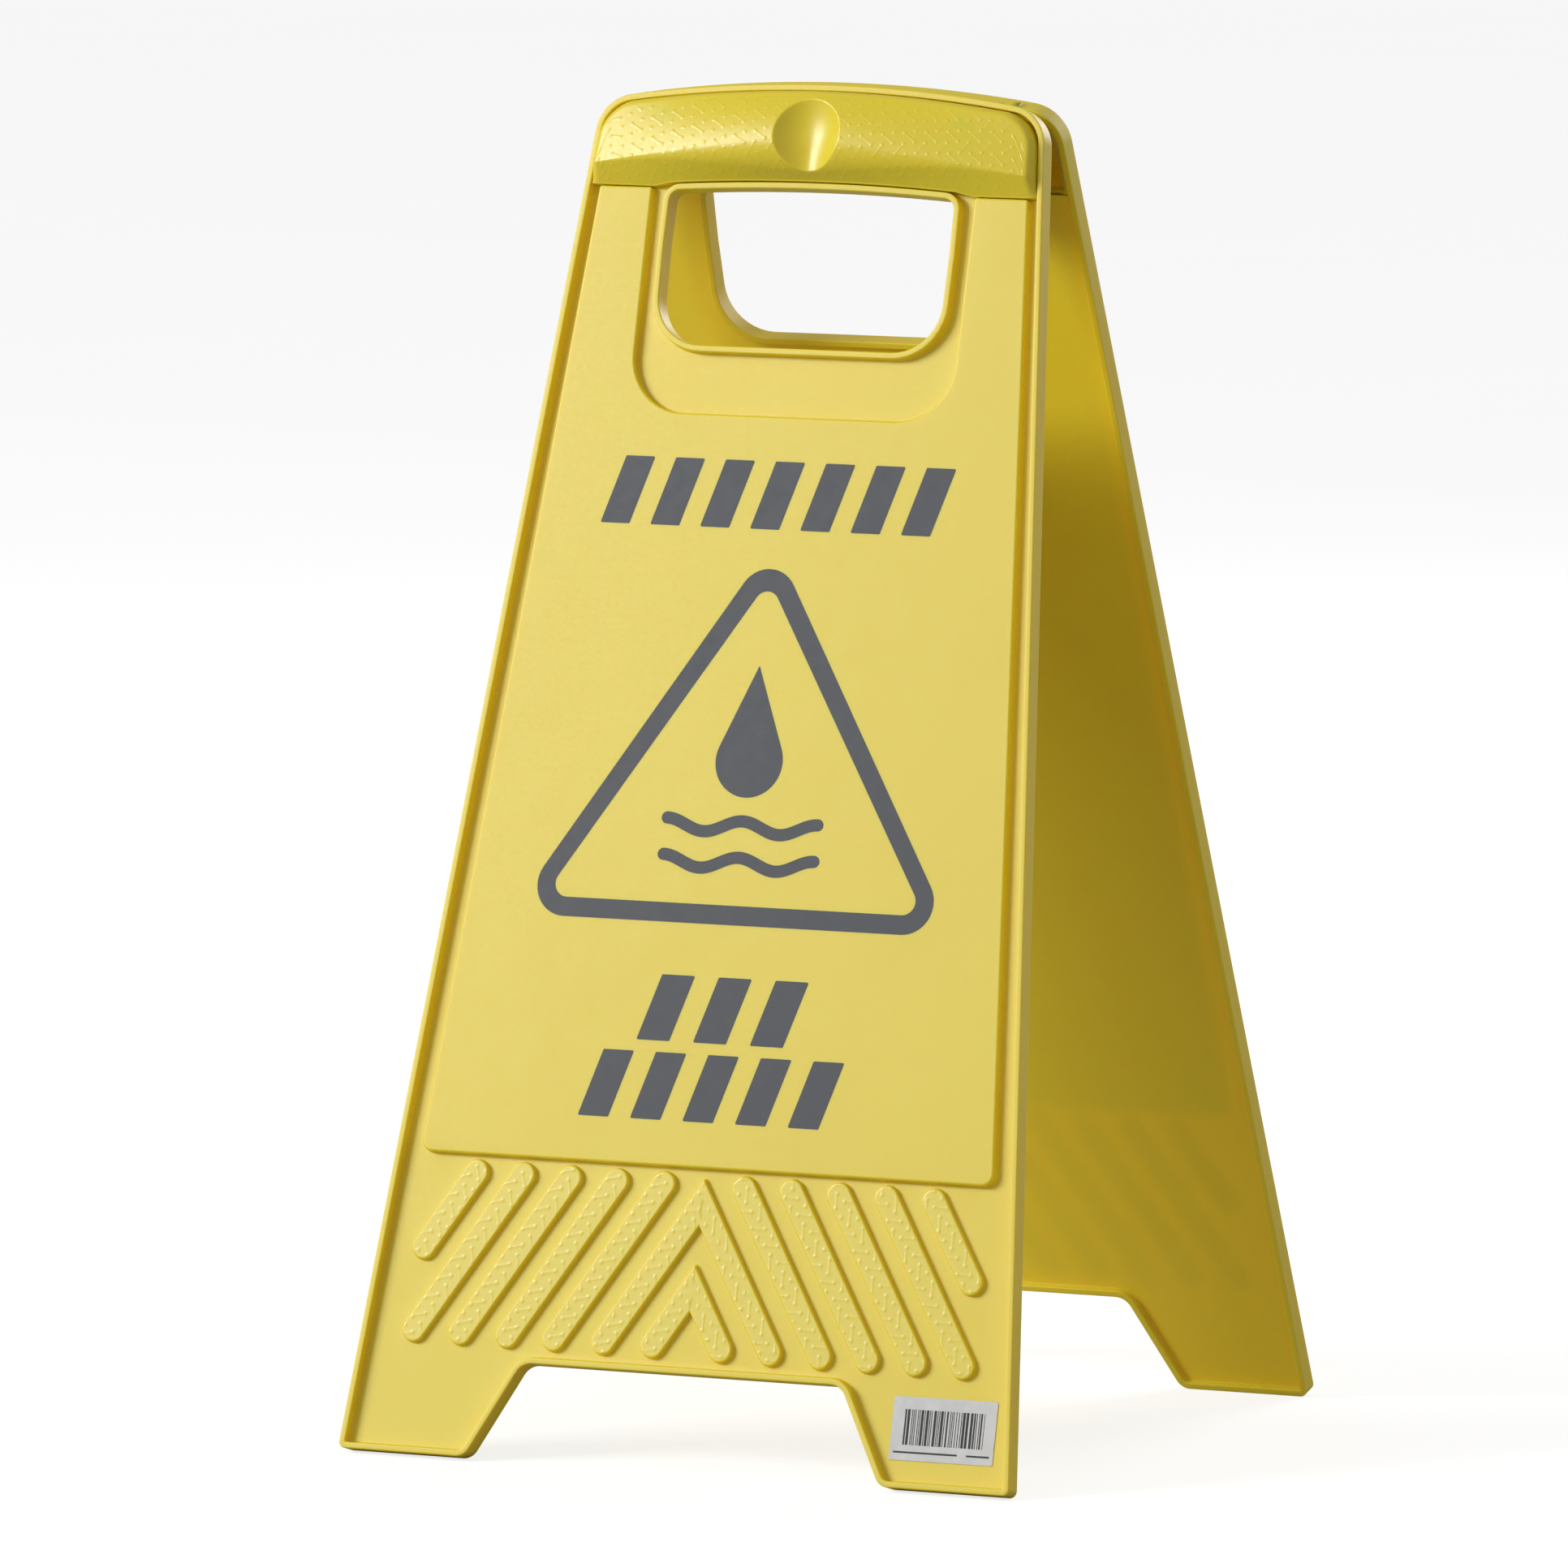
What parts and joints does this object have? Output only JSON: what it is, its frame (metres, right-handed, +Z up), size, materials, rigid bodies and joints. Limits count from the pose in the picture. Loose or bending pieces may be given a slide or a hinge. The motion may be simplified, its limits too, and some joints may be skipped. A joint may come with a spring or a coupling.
{
  "type": "wet floor sign",
  "caption": "Yellow plastic folding A-frame floor safety sign with a textured carrying grip, a hand hole and raised chevron bars, its two panels hinged at the top.",
  "frame": {"origin": "centre of the sign's footprint, on the floor", "axes": "+Z up, +X across the panels along the hinge, the front panel faces -Y"},
  "size_m": [0.3194, 0.3342, 0.5912],
  "materials": {
    "panel_yellow": "injection moulded polypropylene, fine matt grain with a soft sheen",
    "grip_yellow": "injection moulded polypropylene, semi-gloss with small raised tread marks",
    "zinc_screw": "bright zinc plated",
    "steel_pin": "drawn steel rod",
    "black_cap": "black nylon",
    "label_paper": "light grey coated paper label"
  },
  "bodies": {
    "front_half": {"front_panel": "panel_yellow", "front_grip": "grip_yellow", "front_grip_screw_1": "zinc_screw", "front_grip_screw_2": "zinc_screw", "front_grip_screw_3": "zinc_screw", "front_grip_screw_4": "zinc_screw", "hinge_pin_left": "steel_pin", "pin_cap_left": "black_cap", "hinge_pin_right": "steel_pin", "pin_cap_right": "black_cap", "stock_label": "label_paper"},
    "rear_half": {"rear_panel": "panel_yellow", "rear_grip": "grip_yellow", "rear_grip_screw_1": "zinc_screw", "rear_grip_screw_2": "zinc_screw", "rear_grip_screw_3": "zinc_screw", "rear_grip_screw_4": "zinc_screw"}
  },
  "joints": [
    {"name": "panel_fold", "type": "hinge", "parent": "front_half", "child": "rear_half", "pos_m": [0, 0, 0.57424], "axis": [-1, 0, 0], "range_deg": [0, 30.6]}
  ]
}
